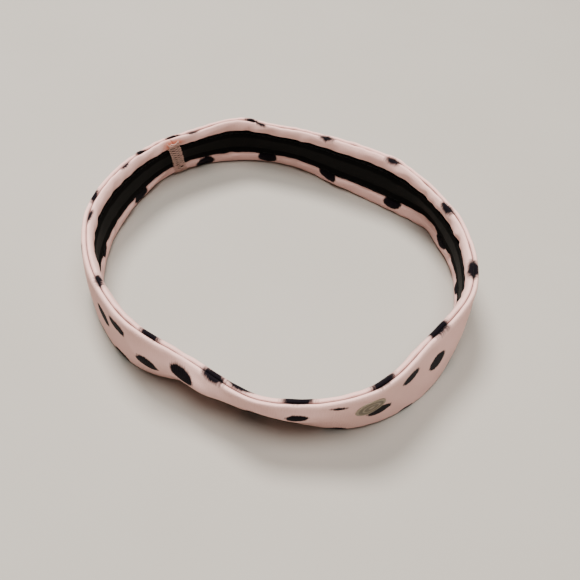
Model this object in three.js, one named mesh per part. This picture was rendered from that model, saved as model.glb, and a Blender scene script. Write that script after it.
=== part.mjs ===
// A stretch headband standing on its lower edge: a knit tube with an elastic core, a soft grip
// strip sewn inside, a tacked join at the back left and a small foil emblem at the front right.
// Millimetres, +Z up, the wearer's forehead at -Y. The origin is the middle of the footprint.
//
// Every layer is one strip of cloth bent round the same loop. A strip is laid out flat first:
// x is depth (0 is the middle of the cloth, + is outside), y is height above the lower edge.
// The elastic stretch is stood in for by a slide, so each strip is cut at the two sides into a
// back half and a front half.

import * as THREE from 'three';

// sizes of the band
const girth = 438;              // length of the relaxed loop along its lower edge
const bandWidth = 28;           // lower rim to upper rim
const gap = 0.3;                // air left between neighbouring pieces

// sizes of the pieces
const knitThickness = 0.9;      // printed knit, each panel
const coreThickness = 1.6;      // woven elastic inside
const seamDepth = 2.2;          // seam allowance folded into each rim
const seamSlot = 1.1;           // room between the two allowances, where the seam thread runs
const lipDepth = 1.1;           // from the rim down to where that slot begins
const rimRadius = 0.55;         // rounding of each ridge along the rims
const gripWidth = 15;           // soft strip on the inside
const gripThickness = 0.8;
const gripRaise = 0.8;          // how far above the band's middle the grip strip is sewn
const stripChamfer = 0.25;      // bevel along the edges of the core and the grip strip
const seamThread = 0.5;         // thread diameters
const gripThread = 0.4;
const stitchInset = 1.2;        // grip strip's edge to its row of stitches
const joinWidth = 5.5;          // tacked join's zigzag
const joinThread = 0.45;
const joinPitch = 1.5;
const joinInset = 1.6;          // rim to the first turn of the zigzag
const emblemDiameter = 9.5;
const emblemThickness = 0.35;
const emblemRing = 0.9;         // width of the raised ring at the emblem's edge
const emblemRelief = 0.2;       // height of that ring over the middle

// places on the band, from the right side along the lower edge
const joinAlong = 152;          // by way of the back
const joinSlant = 10.5;         // how much further along the join is at the upper rim
const emblemAlong = 84;         // by way of the front
const emblemDrop = 9;           // upper rim to the emblem's middle

// how finely the loop is built
const halfSteps = 36;           // steps along each half of a strip
const arcSteps = 2;             // steps in each quarter round of a ridge
const rowHeight = 8;            // tallest facet, so that a twisting face stays true
const emblemSides = 28;
const threadSides = 5;

// The loop's shape at sixteen even bearings, from the right side (+X) by way of the back (+Y):
// reach from the middle, lean of the band outward in degrees, and lift off the table.
// Only the ratio of the reaches counts: they are scaled until the loop measures the girth.
const stations = [
  { reach: 69, lean: -6, lift: 0 },       // right side
  { reach: 66.5, lean: -15, lift: 0 },
  { reach: 59.5, lean: -7, lift: 0 },
  { reach: 58, lean: -10, lift: 0 },
  { reach: 66, lean: -20, lift: 0 },      // back
  { reach: 72, lean: -20, lift: 0 },
  { reach: 75.5, lean: -22, lift: 0 },
  { reach: 72, lean: -7, lift: 0 },
  { reach: 71, lean: 2, lift: 0 },        // left side
  { reach: 71, lean: 3, lift: 0 },
  { reach: 69.5, lean: 7, lift: 0.5 },
  { reach: 63, lean: 20, lift: 1 },       // pinched in and lifted at the front left
  { reach: 67, lean: 28, lift: 1 },       // front
  { reach: 75, lean: 13, lift: 1 },
  { reach: 74, lean: -3, lift: 0 },
  { reach: 70, lean: 4, lift: 0 },
];

const up = new THREE.Vector3(0, 0, 1);

function closedCurve(points) {
  const curve = new THREE.CatmullRomCurve3(points, true, 'catmullrom', 0.5);
  curve.arcLengthDivisions = 1600;
  return curve;
}

function footPoints(scale) {
  return stations.map(({ reach, lift }, index) => {
    const bearing = 2 * Math.PI * index / stations.length;
    const distance = reach * scale;
    return new THREE.Vector3(distance * Math.cos(bearing), distance * Math.sin(bearing), lift);
  });
}

// outward, level direction at one place on a curve
function outward(curve, t) {
  return curve.getTangent(t).cross(up).setZ(0).normalize();
}

const scale = girth / closedCurve(footPoints(1)).getLength();
const foot = closedCurve(footPoints(scale));
const rim = closedCurve(foot.points.map((point, index) => {
  const lean = THREE.MathUtils.degToRad(stations[index].lean);
  const side = outward(foot, index / stations.length);
  return point.clone()
    .addScaledVector(side, bandWidth * Math.sin(lean))
    .addScaledVector(up, bandWidth * Math.cos(lean));
}));

// a place on the flat strip, carried to where it lies on the loop
function bandPoint(t, height, depth) {
  const low = foot.getPoint(t);
  low.z = Math.max(0, low.z);
  const high = rim.getPoint(t);
  return low.lerp(high, height / bandWidth).addScaledVector(outward(foot, t), depth);
}

function bend(geometry, place) {
  const flat = geometry.getAttribute('position');
  for (let i = 0; i < flat.count; i++) {
    const point = place(flat.getX(i), flat.getY(i), flat.getZ(i));
    flat.setXYZ(i, point.x, point.y, point.z);
  }
  geometry.computeVertexNormals();
  return geometry;
}

// one half of a strip: its section extruded, then bent round that half of the loop
function bendStrip(section, start, end) {
  const options = { depth: 1, steps: halfSteps, bevelEnabled: false };
  const strip = new THREE.ExtrudeGeometry(section, options);
  return bend(strip, (depth, height, run) => bandPoint(end + (start - end) * run, height, depth));
}

// a small piece drawn flat on a face of the band: x runs along, y up, z away from the middle
function bendPatch(geometry, along, depthAt) {
  return bend(geometry, (x, height, z) => {
    const t = foot.getUtoTmapping((along + x) / girth);
    return bandPoint(t, height, depthAt(height, z));
  });
}

const outerFace = coreThickness / 2 + gap + knitThickness;
const gripBack = outerFace + gap;
const gripFace = gripBack + gripThickness;
const gripStitchFace = gripFace + gap + gripThread;
const gripLow = (bandWidth - gripWidth) / 2 + gripRaise;
const gripHigh = gripLow + gripWidth;

// a closed section from its corners, with points added along the tall faces
function sectionFrom(corners) {
  const points = corners.flatMap(([depth, height], i) => {
    const [nextDepth, nextHeight] = corners[(i + 1) % corners.length];
    const rows = Math.ceil(Math.abs(nextHeight - height) / rowHeight) || 1;
    return Array.from({ length: rows }, (_, row) => new THREE.Vector2(
      THREE.MathUtils.lerp(depth, nextDepth, row / rows),
      THREE.MathUtils.lerp(height, nextHeight, row / rows),
    ));
  });
  return new THREE.Shape(points);
}

// one knit panel: flat over the core, with the seam allowance filling a rounded ridge at each
// rim; side is 1 for the outer panel and -1 for the inner one
function panelSection(side) {
  const back = outerFace - knitThickness;
  const lip = gap / 2;
  const slot = seamSlot / 2;
  const half = [
    [back, seamDepth],
    [slot, seamDepth],
    [slot, lipDepth],
    [lip, lipDepth],
    [lip, rimRadius],
  ];
  const roundRidge = (centre, from) => {
    for (let i = 1; i <= arcSteps; i++) {
      const angle = from + i / arcSteps * Math.PI / 2;
      half.push([centre + rimRadius * Math.cos(angle), rimRadius + rimRadius * Math.sin(angle)]);
    }
  };
  roundRidge(lip + rimRadius, Math.PI);
  half.push([outerFace - rimRadius, 0]);
  roundRidge(outerFace - rimRadius, 3 * Math.PI / 2);
  const mirrored = half.map(([depth, height]) => [depth, bandWidth - height]).reverse();
  return sectionFrom([...half, ...mirrored].map(([depth, height]) => [side * depth, height]));
}

function rectangleSection(depthFrom, depthTo, low, high, chamfer) {
  return sectionFrom([
    [depthFrom, low + chamfer],
    [depthFrom + chamfer, low],
    [depthTo, low],
    [depthTo, high],
    [depthFrom + chamfer, high],
    [depthFrom, high - chamfer],
  ]);
}

function threadSection(depth, height, diameter) {
  return sectionFrom(Array.from({ length: threadSides }, (_, i) => {
    const angle = 2 * Math.PI * i / threadSides;
    return [
      depth + diameter / 2 * Math.cos(angle),
      height + diameter / 2 * Math.sin(angle),
    ];
  }));
}

function coreSection() {
  const edge = seamDepth + gap;
  const half = coreThickness / 2;
  return rectangleSection(-half, half, edge, bandWidth - edge, stripChamfer);
}

function gripSection() {
  return rectangleSection(-gripFace, -gripBack, gripLow, gripHigh, stripChamfer);
}

// a row of stitches stands one gap clear of the grip strip's face
function gripStitchSection(height) {
  return threadSection(gripThread / 2 - gripStitchFace, height, gripThread);
}

// the thread of a rim's seam runs in the slot between the two seam allowances
function rimSeamSection(height) {
  return threadSection(0, height, seamThread);
}

// one zigzag thread over the whole inner face; its outline turns square at the outside of each
// turn and meets in a notch at the inside, and it steps up over the grip strip and its stitches
function joinZigzag() {
  const rise = joinPitch / 2;
  const swing = joinWidth / 2;
  const spread = joinThread / 2 * Math.hypot(joinWidth, rise) / joinWidth;
  const notch = swing - 2 * spread * swing / rise;
  const turns = Math.floor((bandWidth - 2 * joinInset) / rise);
  const chains = { left: [], right: [] };
  for (let i = 0; i <= turns; i++) {
    const height = joinInset + i * rise;
    const side = i % 2 === 0 ? -1 : 1;
    const outer = side < 0 ? chains.left : chains.right;
    const inner = side < 0 ? chains.right : chains.left;
    const isEnd = i === 0 || i === turns;
    const below = [side * swing, height - spread];
    const above = [side * swing, height + spread];
    if (isEnd) {
      const ends = i === 0 ? [above, below] : [below, above];
      outer.push(ends[0]);
      inner.push(ends[1]);
    } else {
      outer.push(below, above);
      inner.push([side * notch, height]);
    }
  }
  const corners = [...chains.right, ...chains.left.reverse()];
  const outline = new THREE.Shape(corners.map(([x, height]) => (
    new THREE.Vector2(x + joinSlant * height / bandWidth, height))));
  const thread = new THREE.ExtrudeGeometry(outline, { depth: joinThread, bevelEnabled: false });
  const low = gripLow - rise;
  const high = gripHigh + rise;
  const ramp = 2 * rise;
  const step = gripStitchFace - outerFace;
  const depthAt = (height, z) => {
    const over = THREE.MathUtils.smoothstep(height, low - ramp, low)
      - THREE.MathUtils.smoothstep(height, high, high + ramp);
    return z - joinThread - gap - outerFace - over * step;
  };
  return bendPatch(thread, joinAlong, depthAt);
}

// a plain round foil disc with a raised ring at its edge
function emblem() {
  const radius = emblemDiameter / 2;
  const top = emblemThickness;
  const profile = [
    [0, 0],
    [radius, 0],
    [radius, top],
    [radius - emblemRing, top],
    [radius - emblemRing - emblemRelief, top - emblemRelief],
    [0, top - emblemRelief],
  ].map(([x, y]) => new THREE.Vector2(x, y));
  const disc = new THREE.LatheGeometry(profile, emblemSides);
  disc.rotateX(Math.PI / 2);
  disc.translate(0, bandWidth - emblemDrop, 0);
  return bendPatch(disc, girth - emblemAlong, (height, z) => outerFace + gap + z);
}

const blushKnit = new THREE.MeshStandardMaterial({ color: 0xe0bdb3, roughness: 0.9 });
const whiteElastic = new THREE.MeshStandardMaterial({ color: 0xe8e4de, roughness: 0.8 });
const blackGrip = new THREE.MeshStandardMaterial({ color: 0x101011, roughness: 0.7 });
const blackThread = new THREE.MeshStandardMaterial({ color: 0x18181a, roughness: 0.6 });
const blushThread = new THREE.MeshStandardMaterial({ color: 0xc9a79f, roughness: 0.7 });
const silverFoil = new THREE.MeshStandardMaterial({
  color: 0xa09a88, roughness: 0.35, metalness: 0.9,
});

const headband = new THREE.Group();

function addMesh(name, geometry, material) {
  const mesh = new THREE.Mesh(geometry, material);
  mesh.name = name;
  headband.add(mesh);
}

// both halves of a strip, a gap apart at the two sides
function addStrip(name, section, material) {
  const margin = gap / 2 / girth;
  addMesh(`${name}_back`, bendStrip(section, margin, 0.5 - margin), material);
  addMesh(`${name}_front`, bendStrip(section, 0.5 + margin, 1 - margin), material);
}

const seamHeight = (lipDepth + seamDepth) / 2;
addStrip('outer_panel', panelSection(1), blushKnit);
addStrip('inner_panel', panelSection(-1), blushKnit);
addStrip('elastic_core', coreSection(), whiteElastic);
addStrip('rim_seam_lower', rimSeamSection(seamHeight), blushThread);
addStrip('rim_seam_upper', rimSeamSection(bandWidth - seamHeight), blushThread);
addStrip('grip_strip', gripSection(), blackGrip);
addStrip('grip_stitch_lower', gripStitchSection(gripLow + stitchInset), blackThread);
addStrip('grip_stitch_upper', gripStitchSection(gripHigh - stitchInset), blackThread);
addMesh('join_zigzag', joinZigzag(), blushThread);
addMesh('emblem', emblem(), silverFoil);

// stand the footprint's middle on the origin
const box = new THREE.Box3().setFromObject(headband);
const middle = box.getCenter(new THREE.Vector3());
headband.position.set(-middle.x, -middle.y, -box.min.z);

export default headband;
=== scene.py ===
import math
import random

import bpy
import numpy as np
from mathutils import Matrix, Vector


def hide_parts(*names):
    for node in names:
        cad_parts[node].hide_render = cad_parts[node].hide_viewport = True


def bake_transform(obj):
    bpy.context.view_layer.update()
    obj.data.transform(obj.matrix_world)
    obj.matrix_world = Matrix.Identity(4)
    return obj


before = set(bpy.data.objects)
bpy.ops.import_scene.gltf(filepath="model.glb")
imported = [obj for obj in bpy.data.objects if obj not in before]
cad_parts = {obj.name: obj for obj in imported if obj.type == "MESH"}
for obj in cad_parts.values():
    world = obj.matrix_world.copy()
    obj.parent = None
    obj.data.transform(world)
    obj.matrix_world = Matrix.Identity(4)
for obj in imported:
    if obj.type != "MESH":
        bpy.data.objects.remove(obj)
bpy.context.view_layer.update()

print("frame loaded")

mm = 0.001

# The loop at sixteen even bearings, from the right side by way of the back: reach from the
# middle (mm), lean of the band outward (degrees) and lift off the floor (mm).
stations = [
    (69, -6, 0), (66.5, -15, 0), (59.5, -7, 0), (58, -10, 0),
    (66, -20, 0), (72, -20, 0), (75.5, -22, 0), (72, -7, 0),
    (71, 2, 0), (71, 3, 0), (69.5, 7, 0.5), (63, 20, 1),
    (67, 28, 1), (75, 13, 1), (74, -3, 0), (70, 4, 0),
]

band = {
    "girth": 438,       # all in mm, here and in the other dictionaries
    "width": 28,
    "halfDepth": 2.0,
    "softening": 2.0,   # how far the loop's bends are evened out
    "samples": 2400,
    "joinAlong": 152,   # where the two ends of every strip meet
    "joinSlant": 10.5,
    "slantFade": 45,    # how far from the join the slant dies away
    "offFloor": 0.02,   # the cloth's lowest points stand this far off the floor
}

# Soft bends that the cloth has taken, each a swelling or a dent in the band: its middle along
# and up the band, how far it reaches each way, and how far outward it pushes (mm).
folds = [
    (126, 30, 14, 15, 2.6), (164, 30, 12, 15, 1.7), (30, 30, 24, 15, 1.7), (145, 30, 8, 12, 0.5),
    (33, 0, 5, 5, 0.9), (22, 0, 7, 5, -0.8), (34, 9, 13, 7, 2.4), (195, 9, 30, 8, -0.6),
    (281, 15, 9, 7, 2.4), (301, 19, 13, 7, 4.0), (292, 0, 7, 7, -1.2), (311, 0, 10, 9, 0.8),
    (302, 30, 16, 11, -3.2), (334, 19, 13, 6.5, 2.4), (335, 30, 13, 10, -1.8),
    (232, 14, 14, 9, 0.7), (400, 12, 16, 9, 0.8),
]

# Where the band has slumped: its middle along the band, reach, and how far the rim has sunk.
slumps = [(302, 16, 3.4), (335, 13, 2.0)]


# Carrying a place on the flat strip to where it lies in the loop.
def catmullRom(points, t):
    count = len(points)
    place = np.mod(t, 1) * count
    index = np.floor(place).astype(int)
    u = (place - index)[:, None]
    a, b, c, d = (points[(index + k) % count] for k in (-1, 0, 1, 2))
    return b + u / 2 * (c - a + u * (2 * a - 5 * b + 4 * c - d + u * (3 * (b - c) + d - a)))


def evened(points, reach):
    # a closed line with its sharpest bends taken out
    spectrum = np.fft.rfft(points, axis=0)
    order = np.arange(len(spectrum))[:, None]
    keep = np.exp(-0.5 * (2 * math.pi * order * reach / band["girth"]) ** 2)
    return np.fft.irfft(spectrum * keep, len(points), axis=0)


def outward(run):
    # level directions out of the loop, square to its run
    side = np.stack([run[:, 1], -run[:, 0], 0 * run[:, 0]], axis=1)
    return side / np.linalg.norm(side, axis=1)[:, None]


def apart(along, middle):
    # distance along the loop, the shorter way round
    return np.mod(along - middle + band["girth"] / 2, band["girth"]) - band["girth"] / 2


def stepLengths(points):
    return np.linalg.norm(np.roll(points, -1, axis=0) - points, axis=1)


def between(table, place):
    # the table's value at a place that lies between two of its rows
    low = np.floor(place).astype(int)
    share = (place - low)[..., None]
    count = len(table)
    return table[low % count] * (1 - share) + table[(low + 1) % count] * share


class Loop:
    # carries a place on the flat strip (along, height, depth in mm) to where it lies

    def __init__(self):
        reach, lean, lift = (np.array(column, float) for column in zip(*stations))
        bearing = np.arange(len(stations)) * 2 * math.pi / len(stations)
        corners = np.stack([reach * np.cos(bearing), reach * np.sin(bearing), lift], axis=1)
        t = np.arange(band["samples"]) / band["samples"]
        corners[:, :2] *= band["girth"] / stepLengths(catmullRom(corners, t)).sum()
        turn = bearing / (2 * math.pi)
        nudge = 1e-4
        side = outward(catmullRom(corners, turn + nudge) - catmullRom(corners, turn - nudge))
        lean = np.radians(lean)[:, None]
        tops = corners + band["width"] * (side * np.sin(lean) + np.cos(lean) * [[0, 0, 1]])
        foot = evened(catmullRom(corners, t), band["softening"])
        rim = evened(catmullRom(tops, t), band["softening"])
        foot[:, 2] = np.maximum(foot[:, 2], 0)
        # even steps along the lower edge, starting at the right side
        passed = np.concatenate([[0], np.cumsum(stepLengths(foot))])
        place = np.interp(t * passed[-1], passed, np.arange(band["samples"] + 1))
        self.foot = between(foot, place)
        self.rim = between(rim, place)
        self.side = outward(np.roll(self.foot, -1, axis=0) - np.roll(self.foot, 1, axis=0))
        edges = [line + self.side * depth for line in (self.foot, self.rim)
                 for depth in (-band["halfDepth"], band["halfDepth"])]
        every = np.concatenate(edges)
        self.middle = (every.min(axis=0) + every.max(axis=0)) / 2 * [1, 1, 0]

    def bend(self, along, height):
        # how far the folds push the band outward
        total = 0
        for middle, level, reach, rise, push in folds:
            away = apart(along, middle)
            total = total + push * np.exp(-(away / reach) ** 2 - ((height - level) / rise) ** 2)
        return total

    def place(self, along, height, depth):
        sample = np.mod(along, band["girth"]) / band["girth"] * band["samples"]
        foot = between(self.foot, sample)
        rim = between(self.rim, sample)
        side = between(self.side, sample)
        out = np.asarray(depth, float) + self.bend(along, height)
        share = (np.asarray(height, float) / band["width"])[..., None]
        point = foot + (rim - foot) * share + side * out[..., None]
        for middle, reach, sunk in slumps:
            drop = sunk * np.exp(-(apart(along, middle) / reach) ** 2)
            point[..., 2] -= drop * share[..., 0]
        point = point - self.middle
        point[..., 2] = np.maximum(point[..., 2], band["offFloor"])
        return point


loop = Loop()


def smooth(low, high, value):
    share = np.clip((value - low) / (high - low), 0, 1)
    return share * share * (3 - 2 * share)


def quarterRound(share):
    # from 0 to 1 along a quarter of a circle
    return np.sqrt(np.clip(1 - (1 - np.clip(share, 0, 1)) ** 2, 0, 1))


def ripple(along, shortest, longest, seed):
    # a mixed wave round the loop, about one high, with waves between two lengths
    draw = random.Random(seed)
    total = 0
    waveCount = 14
    for _ in range(waveCount):
        turns = round(band["girth"] / draw.uniform(shortest, longest))
        total = total + np.sin(2 * math.pi * (turns * along / band["girth"] + draw.random()))
    return total / math.sqrt(waveCount / 2)


def waves(table, along, height=0):
    # ripples added up, each with its shortest and longest wave, its slant as it climbs the band,
    # how tall it is and its seed
    return sum(ripple(along + height * slant, shortest, longest, seed) * tall
               for shortest, longest, slant, tall, seed in table)


# Making meshes. All points are in mm until they reach addPiece.
def addPiece(name, points, faces, material, fields=None):
    mesh = bpy.data.meshes.new(name)
    mesh.from_pydata([tuple(point) for point in points * mm], [], faces)
    mesh.validate()
    for field, values in (fields or {}).items():
        values = np.asarray(values, np.float32)
        kind = "FLOAT_VECTOR" if values.ndim == 2 else "FLOAT"
        attribute = mesh.attributes.new(field, kind, "POINT")
        attribute.data.foreach_set("vector" if values.ndim == 2 else "value", values.ravel())
    mesh.polygons.foreach_set("use_smooth", [True] * len(mesh.polygons))
    mesh.materials.append(material)
    piece = bpy.data.objects.new(name, mesh)
    bpy.context.scene.collection.objects.link(piece)
    return piece


def gridFaces(rows, columns):
    # a strip whose section closes on itself, its two ends covered
    faces = []
    for i in range(rows - 1):
        for j in range(columns):
            k = (j + 1) % columns
            low, high = i * columns, (i + 1) * columns
            faces.append((low + j, high + j, high + k, low + k))
    faces.append(tuple(range(columns)))
    faces.append(tuple(reversed(range((rows - 1) * columns, rows * columns))))
    return faces


def alongGrid(height, step):
    # places along a strip that starts and ends at the slanted join, and how far each is from it
    count = round(band["girth"] / step)
    run = np.linspace(0, band["girth"], count + 1)[:, None]
    ends = np.minimum(run, band["girth"] - run)
    slant = band["joinSlant"] * (1 - smooth(0, band["slantFade"], ends))
    return band["joinAlong"] + run + slant * height / band["width"], ends


def tube(path, radius, sides, taper):
    # points and faces of a thread along a path; its ends thin down over taper steps
    tip = 0.35      # how far along the first step the thinning starts
    run = np.gradient(path, axis=0)
    run /= np.linalg.norm(run, axis=1)[:, None]
    reference = np.array([0.0, 0.0, 1.0])
    points, faces = [], []
    count = len(path)
    for i in range(count):
        across = np.cross(run[i], reference)
        if np.linalg.norm(across) < 0.2:     # nearly upright
            across = np.cross(run[i], [0.0, 1.0, 0.0])
        across /= np.linalg.norm(across)
        lift = np.cross(across, run[i])
        near = min(i, count - 1 - i)
        size = radius * (math.sin(math.pi / 2 * (near + tip) / taper) if near < taper else 1)
        for j in range(sides):
            angle = 2 * math.pi * j / sides
            points.append(path[i] + size * (across * math.cos(angle) + lift * math.sin(angle)))
    for i in range(count - 1):
        for j in range(sides):
            k = (j + 1) % sides
            low, high = i * sides, (i + 1) * sides
            faces.append((low + j, low + k, high + k, high + j))
    faces.append(tuple(reversed(range(sides))))
    faces.append(tuple(range((count - 1) * sides, count * sides)))
    return points, faces


def gather(parts):
    points, faces = [], []
    for somePoints, someFaces in parts:
        start = len(points)
        points.extend(somePoints)
        faces.extend(tuple(start + corner for corner in face) for face in someFaces)
    return np.array(points), faces


# Sums on shader sockets, and the finishes.
class Wire:
    # one output socket, so that sums on it read as sums

    def __init__(self, finish, socket):
        self.finish = finish
        self.socket = socket

    def maths(self, operation, *values):
        return self.finish.node("ShaderNodeMath", {"operation": operation}, enumerate(values))

    def __add__(self, other):
        return self.maths("ADD", self, other)

    __radd__ = __add__

    def __sub__(self, other):
        return self.maths("SUBTRACT", self, other)

    def __rsub__(self, other):
        return self.maths("SUBTRACT", other, self)

    def __mul__(self, other):
        return self.maths("MULTIPLY", self, other)

    __rmul__ = __mul__

    def __truediv__(self, other):
        return self.maths("DIVIDE", self, other)

    def __rtruediv__(self, other):
        return self.maths("DIVIDE", other, self)

    def __pow__(self, other):
        return self.maths("POWER", self, other)

    def __rpow__(self, other):
        return self.maths("POWER", other, self)

    def __abs__(self):
        return self.maths("ABSOLUTE", self)

    def fraction(self):
        return self.maths("FRACT", self)

    def sine(self):
        return self.maths("SINE", self)

    def near(self, value, reach):
        return self.maths("COMPARE", self, value, reach)


class Finish:
    # one material with a Principled shader

    def __init__(self, name, **constants):
        self.material = bpy.data.materials.new(name)
        self.material.use_nodes = True
        self.tree = self.material.node_tree
        self.shader = self.tree.nodes["Principled BSDF"]
        for key, value in constants.items():
            self.shader.inputs[key.replace("_", " ")].default_value = value

    def node(self, kind, settings, inputs, output=0):
        made = self.tree.nodes.new(kind)
        for key, value in settings.items():
            setattr(made, key, value)
        for key, value in inputs:
            self.feed(made.inputs[key], value)
        return Wire(self, made.outputs[output])

    def feed(self, target, value):
        if isinstance(value, Wire):
            self.tree.links.new(value.socket, target)
        else:
            target.default_value = value

    def field(self, name, output="Fac"):
        return self.node("ShaderNodeAttribute", {"attribute_name": name}, (), output)

    def split(self, vector):
        parts = self.node("ShaderNodeSeparateXYZ", {}, [("Vector", vector)])
        outputs = parts.socket.node.outputs
        return [Wire(self, outputs[axis]) for axis in "XYZ"]

    def join(self, x, y, z=0.0):
        return self.node("ShaderNodeCombineXYZ", {}, [("X", x), ("Y", y), ("Z", z)])

    def noise(self, vector, scale, detail=2.0, roughness=0.5):
        return self.node("ShaderNodeTexNoise", {}, [
            ("Vector", vector), ("Scale", scale), ("Detail", detail), ("Roughness", roughness)])

    def ease(self, value, low, high):
        # from 0 to 1 as the value goes from low to high
        return self.node("ShaderNodeMapRange", {"interpolation_type": "SMOOTHSTEP"}, [
            ("Value", value), ("From Min", low), ("From Max", high)])

    def mix(self, share, first, second):
        # colours from first to second; 6, 7 and 2 are the node's colour sockets
        return self.node("ShaderNodeMix", {"data_type": "RGBA"}, [
            ("Factor", share), (6, first), (7, second)], 2)

    def bump(self, height, depth, strength):
        normal = self.node("ShaderNodeBump", {}, [
            ("Strength", strength), ("Distance", depth * mm), ("Height", height)])
        self.feed(self.shader.inputs["Normal"], normal)

    def colour(self, value):
        self.feed(self.shader.inputs["Base Color"], value)

    def roughness(self, value):
        self.feed(self.shader.inputs["Roughness"], value)


def shade(*levels):
    return (*levels, 1.0)


fullTurn = 2 * math.pi
knitGauge = {"wale": 0.78, "course": 0.62}      # width and height of a stitch, in mm


def knitHeight(along, height):
    # columns of V stitches that stand across the band
    column = (along / knitGauge["wale"]).fraction()
    fromMiddle = abs(column * 2 - 1)
    leg = (height / knitGauge["course"] + fromMiddle * 0.5) * fullTurn
    twist = leg.sine() * 0.5 + 0.5
    rounding = 1 - fromMiddle ** 2.5
    valley = fromMiddle.near(0.0, 0.12)
    return rounding * (twist * 0.45 + 0.55) - valley * 0.2


def spottedKnit():
    look = {
        "blush": shade(0.90, 0.595, 0.55),
        "deeper": shade(0.81, 0.49, 0.45),
        "spot": shade(0.005, 0.0035, 0.006),
        "rubbed": shade(0.72, 0.21, 0.13),      # where the join's stitches pull the knit
        "groove": shade(0.30, 0.17, 0.17),      # painted shade down in the groove between the two rims
        "stitchShade": 0.42,    # painted shade: how much deeper the colour is between the stitches
        # how strong the painted groove shade is
        "grooveShade": 0.8,
        "comb": 1.3,            # how far a spot's edge feathers where the knit is stretched
        "ragged": 0.8,          # and how far elsewhere
        "bumpDepth": 0.11,
    }
    finish = Finish("blush spotted knit", Roughness=0.95, Sheen_Weight=0.03, Sheen_Roughness=0.4,
                    Specular_IOR_Level=0.04)
    strip = finish.field("strip", "Vector")
    along, height, _ = finish.split(strip)
    stitches = knitHeight(along, height)
    cloudy = finish.noise(strip, 0.09, 3.0)
    fluff = finish.noise(strip, 2.6, 4.0, 0.65)
    ground = finish.mix(cloudy * 0.7 + fluff * 0.3, look["blush"], look["deeper"])
    # painted shade in the valleys between the stitches
    ground = finish.mix((1 - stitches) * look["stitchShade"], ground, look["deeper"])
    rubbed = finish.ease(finish.field("rubbed") * (fluff * 1.6 + 0.2), 0.2, 0.9)
    ground = finish.mix(rubbed, ground, look["rubbed"])
    # painted shade: the knit is darkened down in the groove between the rims
    ground = finish.mix(finish.field("groove") * look["grooveShade"], ground, look["groove"])
    teeth = finish.noise(finish.join(along * 1.7, height * 0.13), 1.0, 2.0, 0.6)
    blot = finish.noise(strip, 0.5, 3.0, 0.6)
    comb = finish.field("comb")
    ragged = (teeth - 0.5) * (comb * look["comb"] + look["ragged"])
    edge = finish.field("spotField") + ragged + (blot - 0.5) + (fluff - 0.5) * 0.5
    ink = 1 - finish.ease(edge, comb * -0.65 - 0.35, comb * 0.7 + 0.3)
    finish.colour(finish.mix(ink, ground, look["spot"]))
    finish.roughness(0.92 - ink * 0.12 - cloudy * 0.06)
    finish.bump(stitches + fluff * 0.6, look["bumpDepth"], 0.8)
    return finish.material


def gripPile():
    look = {
        "pile": shade(0.0015, 0.0015, 0.0017),
        "brushed": shade(0.0025, 0.0025, 0.0025),
        # the smooth stripe's own dark tone, lightened with painted sheen
        "centre": shade(0.0036, 0.0034, 0.0032),
        "rib": 0.5,     # mm between the ribs of the smooth stripe
    }
    finish = Finish("black grip ribbon", Specular_IOR_Level=0.05)
    strip = finish.field("strip", "Vector")
    along, height, _ = finish.split(strip)
    middle = finish.field("satin")
    nap = finish.noise(finish.join(along * 2.2, height * 2.2), 1.0, 4.0, 0.7)
    brushed = finish.noise(finish.join(along * 0.05, height * 0.6), 1.0, 2.0)
    lay = finish.mix(brushed, look["pile"], look["brushed"])
    # the smooth middle stripe is painted lighter: its own tone with painted sheen
    finish.colour(finish.mix(middle * (0.5 + brushed * 0.5), lay, look["centre"]))
    finish.roughness(0.9 - middle * 0.3 + (nap - 0.5) * 0.1)
    ribs = (along * (fullTurn / look["rib"])).sine()
    finish.bump(nap * (1 - middle * 0.7) + ribs * middle * 0.12, 0.1, 0.8)
    return finish.material


def wovenElastic(rib):
    look = {
        "dark": shade(0.68, 0.66, 0.62),
        "light": shade(0.82, 0.80, 0.77),
        "pick": 0.8,    # mm between the threads that cross the cords
    }
    finish = Finish("white woven elastic", Roughness=0.8)
    strip = finish.field("strip", "Vector")
    along, height, _ = finish.split(strip)
    cord = (height * (fullTurn / rib)).sine()
    pick = (along * (fullTurn / look["pick"])).sine()
    tone = cord * 0.25 + pick * 0.2 + 0.5
    finish.colour(finish.mix(tone, look["dark"], look["light"]))
    finish.bump(cord + pick * 0.5, 0.12, 0.8)
    return finish.material


def thread(name, dark, light, fuzz, gloss):
    # a twisted yarn: strip holds the run along it, the turn around it and its number
    plyLength = 0.55
    finish = Finish(name, Roughness=0.65, Sheen_Weight=gloss * 0.3, Specular_IOR_Level=gloss)
    strip = finish.field("strip", "Vector")
    run, turn, number = finish.split(strip)
    ply = ((run / plyLength + turn) * fullTurn).sine() * 0.5 + 0.5
    mottled = finish.noise(finish.join(run * 0.8, turn, number), 1.3, 3.0)
    finish.colour(finish.mix(ply * 0.55 + mottled * fuzz, dark, light))
    finish.roughness(0.55 + mottled * 0.25)
    finish.bump(ply + mottled * 0.4, 0.07, 0.9)
    return finish.material


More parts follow.
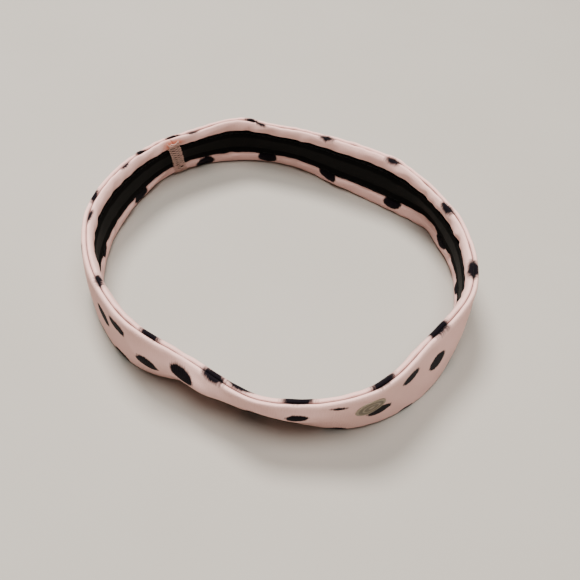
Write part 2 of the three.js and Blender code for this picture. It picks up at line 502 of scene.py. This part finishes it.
def brushedFoil():
    look = {
        "bright": shade(0.34, 0.29, 0.21),
        "dull": shade(0.12, 0.095, 0.065),
        "knit": shade(0.50, 0.36, 0.32),
        "spot": shade(0.02, 0.016, 0.02),
    }
    finish = Finish("silver foil", Specular_IOR_Level=0.5)
    place = finish.field("strip", "Vector")
    x, y, radius = finish.split(place)
    worn = finish.noise(place, 0.9, 4.0, 0.65)
    fine = finish.noise(finish.join(radius * 9.0, 0.0), 1.0, 3.0)
    knit = knitHeight(x, y)
    raised = finish.field("relief")
    metal = finish.mix(raised * 0.75 + fine * 0.25, look["dull"], look["bright"])
    bare = finish.ease(worn, 0.58, 0.7) * (1 - raised * 0.6)
    over = 1 - finish.ease(finish.field("spotField") + (worn - 0.5) * 1.2, -0.4, 0.3)
    metal = finish.mix(bare * 0.5, metal, look["knit"])
    finish.colour(finish.mix(over * (0.9 - raised * 0.25), metal, look["spot"]))
    finish.feed(finish.shader.inputs["Metallic"], 0.75 - bare * 0.5 - over * 0.2)
    finish.roughness(0.36 + worn * 0.25 + bare * 0.2)
    finish.bump(fine * 0.3 + knit * 0.35 + worn * 0.4, 0.05, 0.7)
    return finish.material


def paleFloor():
    finish = Finish("pale floor", Roughness=0.75, Specular_IOR_Level=0.2)
    ground = finish.node("ShaderNodeTexCoord", {}, (), "Object")
    grain = finish.noise(ground, 14.0, 3.0)
    finish.colour(finish.mix(grain, shade(0.36, 0.338, 0.31), shade(0.395, 0.372, 0.345)))
    return finish.material


knit = spottedKnit()
blackThread = thread("black thread", shade(0.0015, 0.0015, 0.002), shade(0.006, 0.006, 0.007),
                     fuzz=0.4, gloss=0.1)
blushThread = thread("blush thread", shade(0.44, 0.25, 0.20), shade(0.88, 0.60, 0.52),
                     fuzz=0.5, gloss=0.3)
seamThread = thread("mauve seam thread", shade(0.20, 0.12, 0.12), shade(0.42, 0.28, 0.27),
                    fuzz=0.5, gloss=0.2)
print("finishes ready")


# The printed spots, as rows that share a height, a size and a tallness, each with its places
# along the band. A spot lies on the outside, over a rim, or inside beside the grip strip.
outerPrint = [
    (22.2, 1, 1, [269, 369.5]), (25, 0.6, 0.5, [344.5]), (17, 1.05, 1.3, [259]),
    (21, 0.82, 1, [333.5]), (21.6, 1.15, 1.15, [295.5]), (16.2, 1, 1.25, [384]),
    (14.4, 1.05, 1.55, [281.5]), (12.5, 1.2, 1, [358]), (12, 1, 1, [319]),
    (1.5, 1, 1, [266]), (0.2, 1, 1, [345.5, 371, 397]), (0.6, 1.1, 1.5, [318]),
    (9, 1, 1, [421, 10]), (24.5, 1, 1, [20, 74, 101, 128, 155, 182, 209, 236, 424]),
    (8, 1, 1, [47, 74, 101, 128, 182, 209]), (16, 1, 1, [33, 60, 87, 114, 141, 168, 195, 222]),
    (1, 1, 1, [33, 60, 87, 114, 141, 168, 195, 239]),
]
rimPrint = [
    # here the height is how far across the rim a spot lies, inward below nought
    (-0.7, 1.0, 1, [282.5]), (-1.7, 1.15, 1.2, [333]), (-1.0, 1.15, 1.15, [358]),
    (-0.6, 1.15, 1.35, [386.5]), (0.9, 1.15, 1.2, [306]), (-3.0, 1.3, 0.75, [315.5]),
    (0.1, 0.8, 1.1, [253.5]), (0.4, 1.25, 1, [419.5]), (-0.3, 0.98, 0.9, [51.5]),
    (-0.8, 1.15, 0.95, [16.5]), (0.1, 0.95, 0.9, [82]), (1.0, 0.95, 0.75, [119]),
    (1.8, 0.9, 0.55, [160, 178]), (2.2, 0.85, 0.6, [210]), (-0.9, 0.8, 0.6, [114.5]),
    (-0.4, 0.85, 0.42, [150.5, 189.5, 221]),
]
innerPrint = [
    (5, 1.1, 1.3, [111.5]), (5.6, 1.1, 1, [81, 49.5]), (3.6, 1.1, 1.25, [141]),
    (5.2, 1.2, 1.2, [180]), (5.2, 0.42, 1.5, [153.5]), (7.2, 1.2, 1, [18.5]),
    (8, 1, 1, [217, 252, 288, 324, 360, 396, 430]),
]
spot = {
    "halfLong": 4.0, "halfHigh": 2.7,
    "tilt": 14,         # degrees, either way
    "least": 0.94,      # how much the sizes vary
    "most": 1.06,
    "stray": 0.2,       # how far it may lie off its row
    "cut": 1.6,         # how much less of a rim's spot is on the outer panel
    "far": 9.0,         # the field's value well away from any spot
}


def spotField(along, height, rows, seed):
    # distance in mm to the nearest spot's edge, below nought inside it
    draw = random.Random(seed)
    field = np.full(along.shape, spot["far"])
    for level, size, tall, places in rows:
        for x in places:
            angle = math.radians(draw.uniform(-1, 1) * spot["tilt"])
            reach = size * draw.uniform(spot["least"], spot["most"])
            dx = apart(along, x)
            dy = height - level - draw.uniform(-spot["stray"], spot["stray"])
            long = (dx * math.cos(angle) + dy * math.sin(angle)) / spot["halfLong"]
            high = (dy * math.cos(angle) - dx * math.sin(angle)) / (spot["halfHigh"] * tall)
            field = np.minimum(field, (np.hypot(long, high) - reach) * spot["halfHigh"])
    return field


# The two knit panels.
panel = {
    "crest": 0.98,          # depth of a ridge's top, from the groove in the middle
    "round": 2.6,           # height over which the rim rounds off to the face
    "lip": 0.04,            # half of the groove's width at its bottom
    "grooveDepth": 1.15,
    "allowanceDepth": 0.5,
    "allowanceEnd": 2.4,
    "thickness": 0.5,
    "step": 0.9,            # along the strip
    "puff": 0.55,           # margins beside the grip strip stand this proud
    "pull": 0.42,           # how far the stitches draw the panel in
    "puckerAt": 1.4,        # where the puckers beside the strip are tallest, and their reach
    "puckerReach": 2.2,
    "crown": 0.18,          # how far the outer face swells at its middle
    "endRound": 0.7,        # rounding of the two ends at the join
    # shortest and longest wave, slant, how tall and seed, as waves() takes them
    "outerWaves": [(16, 42, 0, 0.10, 11), (9, 18, 0.8, 0.05, 12)],
    "puckers": [(5, 11, 0.5, 0.14, 21), (9, 22, 0, 0.12, 22)],
    "creases": [(11, 26, 1.3, 0.2, 23)],
}
rubbed = {"height": 25.2, "reach": 6.5, "rise": 3}     # the pulled knit at the join's top
grip = {
    "width": 15, "thickness": 0.62, "step": 1.0, "stitchInset": 1.2,
    "raise": 0.8,           # how far its middle is above the band's
    "edge": 0.35,           # rounding of its edges
    "satinLow": 0.3,        # the smooth stripe, in shares of the strip's width
    "satinHigh": 0.74,
    "satinBlend": 0.03,
    "satinRise": 0.1,
    "stitchDent": 0.16,
    "lift": 0.03,           # its face and its back off the panel
    "backLift": 0.02,
    "sewn": [(2.4, 3.2, 0, 0.03, 41), (6, 16, 0, 0.05, 42)],    # waves along its sewn edges
    "edgeWaves": [(5, 14, 0, 0.08, 43)],
}
grip["low"] = (band["width"] - grip["width"]) / 2 + grip["raise"]
grip["high"] = grip["low"] + grip["width"]


def faceShape(side, along, height):
    # how far a panel's face stands out from its plain depth
    rimward = np.minimum(height, band["width"] - height)
    soft = smooth(0.5, 4, rimward)
    if side > 0:
        crown = panel["crown"] * np.sin(math.pi * np.clip(height / band["width"], 0, 1))
        return crown + waves(panel["outerWaves"], along, height) * soft
    # how far outside the grip strip it is, below nought under the strip
    margin = np.maximum(grip["low"] - height, height - grip["high"])
    span = np.where(height < band["width"] / 2, grip["low"], band["width"] - grip["high"])
    bulge = np.sin(math.pi * np.clip(margin / span, 0, 1) ** 0.7)
    drawn = 1 - smooth(-0.4, 1.6, margin)
    near = np.exp(-((margin - panel["puckerAt"]) / panel["puckerReach"]) ** 2)
    puckers = waves(panel["puckers"], along, height) * near
    creases = waves(panel["creases"], along, height) * (1 - drawn) * soft
    return panel["puff"] * bulge - panel["pull"] * drawn + puckers + creases


def rimWobble(side, along, top):
    # small gathers along a rim's ridge, of its own for each rim and panel
    seed = (31 if top else 33) + (1 if side > 0 else 0)
    return waves([(5, 10, 0, 0.08, seed), (14, 40, 0, 0.18, seed + 4)], along)


def halfProfile():
    # half a panel's visible line, from the middle of its face over the rim into the groove,
    # as depth and distance below the rim
    face = np.linspace(band["width"] / 2, panel["round"], 14, endpoint=False)
    line = [(band["halfDepth"], fall) for fall in face]
    for angle in np.linspace(0, math.pi / 2, 9, endpoint=False):
        line.append((panel["crest"] + (band["halfDepth"] - panel["crest"]) * math.cos(angle),
                     panel["round"] * (1 - math.sin(angle))))
    for angle in np.linspace(math.pi / 2, math.pi, 8):
        line.append((panel["crest"] + (panel["crest"] - panel["lip"]) * math.cos(angle),
                     panel["grooveDepth"] * (1 - math.sin(angle))))
    line.append((panel["allowanceDepth"] * 0.7, (panel["grooveDepth"] + panel["allowanceEnd"]) / 2))
    line.append((panel["allowanceDepth"], panel["allowanceEnd"]))
    return np.array(line)


def panelLine():
    # a panel's whole visible line from groove to groove, and the height on the flat cloth that
    # each of its points had
    half = halfProfile()
    upper = np.stack([half[:, 0], band["width"] - half[:, 1]], axis=1)
    lower = half[::-1]
    line = np.concatenate([lower[:-1], upper])
    gaps = np.linalg.norm(np.diff(line, axis=0), axis=1)
    cloth = np.concatenate([[0], np.cumsum(gaps)])
    return line, cloth - cloth[len(lower) - 1] + band["width"] / 2


def panelPiece(name, side, rows, seed):
    line, cloth = panelLine()
    crest = cloth[np.argmax(line[:, 1])]
    away = spot["cut"] if side > 0 else 0
    overRim = [(crest + panel["crest"] - side * across + away, size, tall, places)
               for across, size, tall, places in rimPrint]
    run = np.gradient(line, axis=0)
    inward = np.stack([-run[:, 1], run[:, 0]], axis=1) / np.linalg.norm(run, axis=1)[:, None]
    back = line + inward * panel["thickness"]
    everySecond = slice(1, -1, 2)
    section = np.concatenate([line, back[::-1][everySecond]])
    clothHeight = np.concatenate([cloth, cloth[::-1][everySecond]])
    depth, height = section.T
    along, ends = alongGrid(height, panel["step"])
    heights = np.broadcast_to(height, along.shape)
    rounded = quarterRound(ends / panel["endRound"])
    shape = faceShape(side, along, heights) * smooth(0.55, 1.0, depth / band["halfDepth"])
    top = height > band["width"] / 2
    lift = np.where(top, rimWobble(side, along, True), -rimWobble(side, along, False))
    rimShare = 1 - smooth(0, 5, np.minimum(height, band["width"] - height))
    depths = depth * (0.82 + 0.18 * rounded) + shape
    bent = loop.place(along, heights + lift * rimShare, side * depths)
    faces = gridFaces(*along.shape)
    if side > 0:
        faces = [tuple(reversed(face)) for face in faces]
    clothHeights = np.broadcast_to(clothHeight, along.shape)
    own = np.full(along.shape, side * 9.0)      # so that the two panels aren't mottled alike
    strip = np.stack([along, clothHeights, own], axis=-1)
    marks = spotField(along, clothHeights, rows + overRim, seed)
    comb = np.broadcast_to(1 - smooth(1.5, 6, crest - clothHeight), along.shape)
    # where the knit gets its painted shade, down in the groove past the crest
    pastCrest = np.abs(clothHeight - band["width"] / 2) - (crest - band["width"] / 2)
    groove = np.broadcast_to(smooth(0.6, 1.5, pastCrest), along.shape)
    fromJoin = apart(along, band["joinAlong"] + band["joinSlant"] * heights / band["width"])
    pulled = np.exp(-(fromJoin / rubbed["reach"]) ** 2
                    - ((heights - rubbed["height"]) / rubbed["rise"]) ** 2) * (side < 0)
    return addPiece(name, bent.reshape(-1, 3), faces, knit, fields={
        "strip": strip.reshape(-1, 3), "spotField": marks.ravel(), "comb": comb.ravel(),
        "rubbed": pulled.ravel(), "groove": groove.ravel()})


outerSeed = 3       # the emblem shows the same spots through the foil
outerPanel = panelPiece("outer_panel", 1, outerPrint, outerSeed)
innerPanel = panelPiece("inner_panel", -1, innerPrint, 5)
print("knit panels made")


# The elastic inside.
core = {
    "edge": 2.7,        # how far it stays below the rims
    "half": 0.75,       # half of its thickness
    "rib": 1.4, "ribRise": 0.05, "step": 2.0,
}


def corePiece():
    height = np.linspace(core["edge"], band["width"] - core["edge"], 60)
    out = core["half"] + core["ribRise"] * np.sin(2 * math.pi * height / core["rib"])
    section = np.concatenate([np.stack([out, height], 1), np.stack([-out, height], 1)[::-1]])
    depth, heights = section.T
    along, _ = alongGrid(heights, core["step"])
    wide = np.broadcast_to(heights, along.shape)
    deep = np.broadcast_to(depth, along.shape)
    faces = [tuple(reversed(face)) for face in gridFaces(*along.shape)]
    strip = np.stack([along, wide, deep], axis=-1)
    return addPiece("elastic_core", loop.place(along, wide, deep).reshape(-1, 3), faces,
                    wovenElastic(core["rib"]), fields={"strip": strip.reshape(-1, 3)})


elasticCore = corePiece()
print("elastic made")


# The grip strip and its stitches.
def gripTop(along, height):
    # depth of the grip strip's face, counted inward from the middle of the band
    share = (height - grip["low"]) / grip["width"]
    fromEdge = np.minimum(height - grip["low"], grip["high"] - height)
    stitched = np.exp(-((fromEdge - grip["stitchInset"]) / 0.35) ** 2)
    blend = grip["satinBlend"]
    satin = smooth(grip["satinLow"] - blend, grip["satinLow"] + blend, share) * (
        1 - smooth(grip["satinHigh"] - blend, grip["satinHigh"] + blend, share))
    rise = grip["thickness"] * (0.35 + 0.65 * quarterRound(fromEdge / grip["edge"]))
    rise = (rise - grip["stitchDent"] * stitched + grip["satinRise"] * satin
            + waves(grip["sewn"], along) * np.exp(-fromEdge / 2.5))
    return band["halfDepth"] + faceShape(-1, along, height) + grip["lift"] + rise, satin


def gripPiece():
    even = np.linspace(0, 1, 44)
    closerAtEdges = 0.5 - 0.5 * np.cos(math.pi * even)
    height = grip["low"] + grip["width"] * (0.25 * closerAtEdges + 0.75 * even)
    heights = np.concatenate([height, height[::-1][::3]])
    along, _ = alongGrid(heights, grip["step"])
    wide = np.broadcast_to(heights, along.shape).copy()
    face, satin = gripTop(along, wide)
    wide += waves(grip["edgeWaves"], along)
    under = band["halfDepth"] + faceShape(-1, along, wide) + grip["backLift"]
    isFace = np.arange(len(heights)) < len(height)
    depth = np.where(isFace, face, under)
    satin = satin * isFace
    strip = np.stack([along, wide, depth], axis=-1)
    return addPiece("grip_strip", loop.place(along, wide, -depth).reshape(-1, 3),
                    gridFaces(*along.shape), gripPile(),
                    fields={"strip": strip.reshape(-1, 3), "satin": satin.ravel()})


stitch = {
    "length": 2.3, "pitch": 2.7, "radius": 0.19, "sides": 6,
    "sag": 0.16,        # how far its ends sink into the ribbon
    "fromJoin": 3.5,    # where the first one starts
    "strayAlong": 0.1, "strayUp": 0.08, "strayTilt": 0.12,
}


def threadFields(parts, sides):
    # run along each thread, turn around it, and a number so that no two are mottled alike
    strip = []
    for number, (points, _) in enumerate(parts):
        rings = np.asarray(points).reshape(-1, sides, 3)
        middles = rings.mean(axis=1)
        run = np.concatenate([[0], np.cumsum(np.linalg.norm(np.diff(middles, axis=0), axis=1))])
        turn = np.arange(sides) / sides
        strip.append(np.stack([np.repeat(run, sides), np.tile(turn, len(run)),
                               np.full(len(points), number * 1.7)], axis=1))
    return {"strip": np.concatenate(strip)}


def threadPiece(name, parts, material, sides):
    points, faces = gather(parts)
    return addPiece(name, points, faces, material, fields=threadFields(parts, sides))


def gripStitches(name, height, seed):
    draw = random.Random(seed)
    count = round((band["girth"] - 2) / stitch["pitch"])
    parts = []
    for i in range(count):
        start = (band["joinAlong"] + stitch["fromJoin"] + i * stitch["pitch"]
                 + draw.uniform(-stitch["strayAlong"], stitch["strayAlong"]))
        if start + stitch["length"] > band["joinAlong"] + band["girth"] + 1:
            break
        share = np.linspace(0, 1, 9)
        along = start + share * stitch["length"]
        high = height + draw.uniform(-stitch["strayUp"], stitch["strayUp"])
        high = high + (share - 0.5) * draw.uniform(-stitch["strayTilt"], stitch["strayTilt"])
        skin, _ = gripTop(along, high)
        depth = skin + stitch["radius"] * 0.55 - stitch["sag"] * (2 * share - 1) ** 4
        parts.append(tube(loop.place(along, high, -depth), stitch["radius"], stitch["sides"], 2))
    return threadPiece(name, parts, blackThread, stitch["sides"])


gripStrip = gripPiece()
stitchLower = gripStitches("grip_stitch_lower", grip["low"] + grip["stitchInset"], 51)
stitchUpper = gripStitches("grip_stitch_upper", grip["high"] - grip["stitchInset"], 52)
print("grip strip sewn in")


# The thread of the rim seams.
rimSeam = {
    "fall": 1.5,        # how far below the rim the thread lies
    "radius": 0.2, "weave": 0.1, "bob": 0.05, "pitch": 2.2, "sides": 6, "step": 0.55,
    "gap": 0.6,         # from each end to the join
}


def rimSeamPiece(name, top):
    count = round(band["girth"] / rimSeam["step"])
    height = band["width"] - rimSeam["fall"] if top else rimSeam["fall"]
    run = np.linspace(rimSeam["gap"], band["girth"] - rimSeam["gap"], count)
    slant = band["joinSlant"] * height / band["width"]
    fade = 1 - smooth(0, band["slantFade"], np.minimum(run, band["girth"] - run))
    along = band["joinAlong"] + run + slant * fade
    depth = rimSeam["weave"] * np.sin(2 * math.pi * run / rimSeam["pitch"])
    high = height + rimSeam["bob"] * np.cos(2 * math.pi * run / rimSeam["pitch"])
    part = tube(loop.place(along, high, depth), rimSeam["radius"], rimSeam["sides"], 2)
    return threadPiece(name, [part], seamThread, rimSeam["sides"])


seamLower = rimSeamPiece("rim_seam_lower", False)
seamUpper = rimSeamPiece("rim_seam_upper", True)
print("rim seams sewn")


# The tacked join.
tack = {
    "width": 5.5, "pitch": 1.7, "radius": 0.17, "sides": 6, "inset": 0.9,
    "jitter": 0.22, "columns": 3,
    "overlap": 0.35,        # how far the columns reach over each other
    "rowStitch": 1.6,       # length and pitch of the stitches along both edges
    "rowPitch": 1.85,
    "tails": 16,            # loose thread ends over the upper margin
    "tailShare": 0.42,      # their radius as a share of the thread's
}


def innerSkin(along, height):
    # how far in the inner face is, over the panel or over the grip strip
    bare = band["halfDepth"] + faceShape(-1, along, height)
    rimward = np.minimum(height, band["width"] - height)
    bare = panel["crest"] + (bare - panel["crest"]) * quarterRound(rimward / panel["round"])
    over, _ = gripTop(along, np.clip(height, grip["low"], grip["high"]))
    inside = smooth(grip["low"] - 0.5, grip["low"] + 0.3, height) * (
        1 - smooth(grip["high"] - 0.3, grip["high"] + 0.5, height))
    return bare * (1 - inside) + over * inside


def joinLine(height, offset):
    return band["joinAlong"] + band["joinSlant"] * height / band["width"] + offset


def onSkin(along, height, lift, radius, taper):
    # a thread laid on the inner face
    depth = innerSkin(along, height) + lift
    return tube(loop.place(along, height, -depth), radius, tack["sides"], taper)


def zigzagColumn(number, draw):
    columnWidth = tack["width"] / tack["columns"]
    rise = tack["pitch"] / 2
    turns = int((band["width"] - 2 * tack["inset"]) / rise)
    middle = (number - (tack["columns"] - 1) / 2) * columnWidth
    height, offset = [], []
    for i in range(turns + 1):
        side = 1 if (i + number) % 2 else -1
        height.append(tack["inset"] + i * rise + draw.uniform(-1, 1) * tack["jitter"])
        offset.append(middle + side * (columnWidth / 2 + tack["overlap"])
                      + draw.uniform(-1, 1) * tack["jitter"])
    fine = np.linspace(0, turns, turns * 8 + 1)
    height = np.interp(fine, np.arange(turns + 1), height)
    offset = np.interp(fine, np.arange(turns + 1), offset)
    legs = np.abs(np.mod(fine, 1) - 0.5) * 2
    lift = tack["radius"] * (0.9 + 0.9 * (number % 2) + 0.7 * (1 - legs ** 6))
    return onSkin(joinLine(height, offset), height, lift, tack["radius"], 3)


def edgeRow(side, draw):
    # a lockstitch row along one edge of the tack
    parts = []
    share = np.linspace(0, 1, 8)
    start = tack["inset"] + 0.4
    while start + tack["rowStitch"] < band["width"] - tack["inset"]:
        height = start + share * tack["rowStitch"]
        offset = side * (tack["width"] / 2 - 0.1) + draw.uniform(-0.1, 0.1)
        lift = tack["radius"] * (2.6 - 1.4 * (2 * share - 1) ** 4)
        parts.append(onSkin(joinLine(height, offset), height, lift, tack["radius"], 2))
        start += tack["rowPitch"]
    return parts


def looseEnd(draw):
    share = np.linspace(0, 1, 12)
    start = joinLine(band["width"] - 5, draw.uniform(-3.5, 3))
    bend = draw.uniform(-2.5, 2.5)
    height = band["width"] - 5.4 + draw.uniform(-1.5, 1) + share * draw.uniform(1.2, 3)
    along = start + bend * share ** 2 + draw.uniform(-1, 1) * np.sin(share * 4) * 0.5
    lift = 0.15 + draw.uniform(0.1, 0.5) * np.sin(share * 3)
    return onSkin(along, height, lift, tack["radius"] * tack["tailShare"], 3)


def joinPiece():
    draw = random.Random(61)
    parts = [zigzagColumn(number, draw) for number in range(tack["columns"])]
    parts += edgeRow(-1, draw) + edgeRow(1, draw)
    parts += [looseEnd(draw) for _ in range(tack["tails"])]
    return threadPiece("join_zigzag", parts, blushThread, tack["sides"])


joinZigzag = joinPiece()
print("join tacked")


# The emblem.
disc = {
    "along": 354, "drop": 9, "radius": 4.75, "thickness": 0.16,
    "ring": 0.8, "innerRing": 2.5, "dot": 0.9, "relief": 0.14,
    "lift": 0.05,           # off the cloth
    "edge": 0.12,           # rounding of its edge
    "rings": 44, "sides": 96,
}


def discRelief(radius):
    # 1 on the raised rings and the dot, 0 between them
    inner = disc["radius"] - disc["ring"]
    outerRing = smooth(inner - 0.2, inner, radius)
    innerRing = np.exp(-((radius - disc["innerRing"]) / 0.3) ** 4)
    dot = 1 - smooth(disc["dot"] - 0.15, disc["dot"] + 0.15, radius)
    return np.clip(outerRing + innerRing + dot, 0, 1)


def discFaces(count, sides):
    # the face, then the back turned over, each with its hub, then the rim between them
    faces = []
    under = count * sides
    for level, turned in ((0, False), (under, True)):
        layer = []
        for i in range(count - 1):
            for j in range(sides):
                k = (j + 1) % sides
                low, high = level + i * sides, level + (i + 1) * sides
                layer.append((low + j, high + j, high + k, low + k))
        layer.append(tuple(level + j for j in range(sides)))
        faces += [tuple(reversed(face)) for face in layer] if turned else layer
    rim = (count - 1) * sides
    for j in range(sides):
        k = (j + 1) % sides
        faces.append((rim + j, under + rim + j, under + rim + k, rim + k))
    return faces


def emblemPiece():
    angle = np.arange(disc["sides"]) / disc["sides"] * 2 * math.pi
    radius, angle = np.meshgrid(np.linspace(0.05, disc["radius"], disc["rings"]), angle,
                                indexing="ij")
    x, y = radius * np.cos(angle), radius * np.sin(angle)
    along = disc["along"] + x
    height = band["width"] - disc["drop"] + y
    skin = band["halfDepth"] + faceShape(1, along, height)
    raised = discRelief(radius)
    edge = np.sqrt(np.clip((disc["radius"] - radius) / disc["edge"], 0, 1))
    points = []
    for isTop in (True, False):
        lift = disc["lift"] + (disc["thickness"] * edge + disc["relief"] * raised * edge) * isTop
        points.append(loop.place(along, height, skin + lift).reshape(-1, 3))
    strip = np.stack([x, y, radius], axis=-1).reshape(-1, 3)
    marks = spotField(along, height, outerPrint, outerSeed).ravel()
    return addPiece("emblem_disc", np.concatenate(points), discFaces(*radius.shape),
                    brushedFoil(), fields={
                        "strip": np.tile(strip, (2, 1)),
                        "relief": np.concatenate([raised.ravel(), 0 * raised.ravel()]),
                        "spotField": np.tile(marks, 2)})


emblem = emblemPiece()
print("emblem pressed on")


# Each piece, the CAD part it stands in for, whose back and front copies are hidden, and its slot.
pieces = [
    (outerPanel, "outer_panel", "printed_knit"),
    (innerPanel, "inner_panel", "printed_knit"),
    (elasticCore, "elastic_core", "woven_elastic"),
    (gripStrip, "grip_strip", "grip_ribbon"),
    (stitchLower, "grip_stitch_lower", "black_thread"),
    (stitchUpper, "grip_stitch_upper", "black_thread"),
    (seamLower, "rim_seam_lower", "blush_thread"),
    (seamUpper, "rim_seam_upper", "blush_thread"),
]
for piece, node, slot in pieces:
    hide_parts(f"{node}_back", f"{node}_front")
    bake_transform(piece)
for piece, node, slot in ((joinZigzag, "join_zigzag", "blush_thread"),
                          (emblem, "emblem", "silver_foil")):
    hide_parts(node)
    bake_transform(piece)

# Floor, lights and camera.
studio = {
    "floor": 1.3,       # reach of its flat part, before it curves up into a wall
    "curve": 0.8,
    "wall": 2.2,
    "lights": [
        # each faces the middle of the floor
        {"name": "soft window", "at": (-0.3, 0.45, 1.25), "size": 0.5, "power": 36},
        {"name": "ceiling", "at": (0.12, -0.32, 1.35), "size": 0.8, "power": 26},
    ],
    "tint": (1.0, 0.955, 0.89),
    "sky": 0.04,
}


def buildFloor():
    # a flat disc whose edge curves up into a wall all round, as rings of points in metres
    line = [(studio["floor"] - 0.1, 0.0), (studio["floor"], 0.0)]
    for turn in np.linspace(0, math.pi / 2, 13)[1:]:
        line.append((studio["floor"] + studio["curve"] * math.sin(turn),
                     studio["curve"] * (1 - math.cos(turn))))
    line.append((line[-1][0], studio["wall"]))
    sides = 96
    angle = np.arange(sides) / sides * 2 * math.pi
    rings = [np.stack([reach * np.cos(angle), reach * np.sin(angle), 0 * angle + height], axis=1)
             for reach, height in line]
    faces = [(i * sides + j, (i + 1) * sides + j, (i + 1) * sides + (j + 1) % sides,
              i * sides + (j + 1) % sides) for i in range(len(line) - 1) for j in range(sides)]
    faces.append(tuple(range(sides)))
    floor = addPiece("floor", np.concatenate(rings) / mm, faces, paleFloor())


def buildLights():
    for light in studio["lights"]:
        data = bpy.data.lights.new(light["name"], "AREA")
        data.shape = "DISK"
        data.size = light["size"]
        data.energy = light["power"]
        data.color = studio["tint"]
        lamp = bpy.data.objects.new(light["name"], data)
        lamp.location = light["at"]
        lamp.rotation_euler = (-Vector(light["at"])).to_track_quat("-Z", "Y").to_euler()
        bpy.context.scene.collection.objects.link(lamp)
    world = bpy.data.worlds.new("soft sky")
    world.use_nodes = True
    sky = world.node_tree.nodes["Background"]
    sky.inputs["Color"].default_value = (*studio["tint"], 1.0)
    sky.inputs["Strength"].default_value = studio["sky"]
    bpy.context.scene.world = world


view = {
    "elevation": 47.7, "roll": 4.05,        # degrees
    "distance": 338.5,
    "aim": (3.3, -9.4, 0),      # from the middle of the loop's stations
    "lens": 54.6,
}


def buildCamera():
    data = bpy.data.cameras.new("camera")
    data.lens = view["lens"]
    data.sensor_width = 36
    data.clip_start = 0.01
    camera = bpy.data.objects.new("camera", data)
    tilt = math.radians(view["elevation"])
    aim = Vector(view["aim"]) - Vector(loop.middle)
    back = Vector((0, -math.cos(tilt), math.sin(tilt)))
    right = Vector((1, 0, 0))
    up = back.cross(right)
    roll = math.radians(view["roll"])
    turnedRight = right * math.cos(roll) + up * math.sin(roll)
    turnedUp = up * math.cos(roll) - right * math.sin(roll)
    pose = Matrix((turnedRight, turnedUp, back)).transposed().to_4x4()
    pose.translation = (aim + back * view["distance"]) * mm
    camera.matrix_world = pose
    bpy.context.scene.collection.objects.link(camera)
    bpy.context.scene.camera = camera


buildFloor()
buildLights()
buildCamera()
print("studio and camera set")
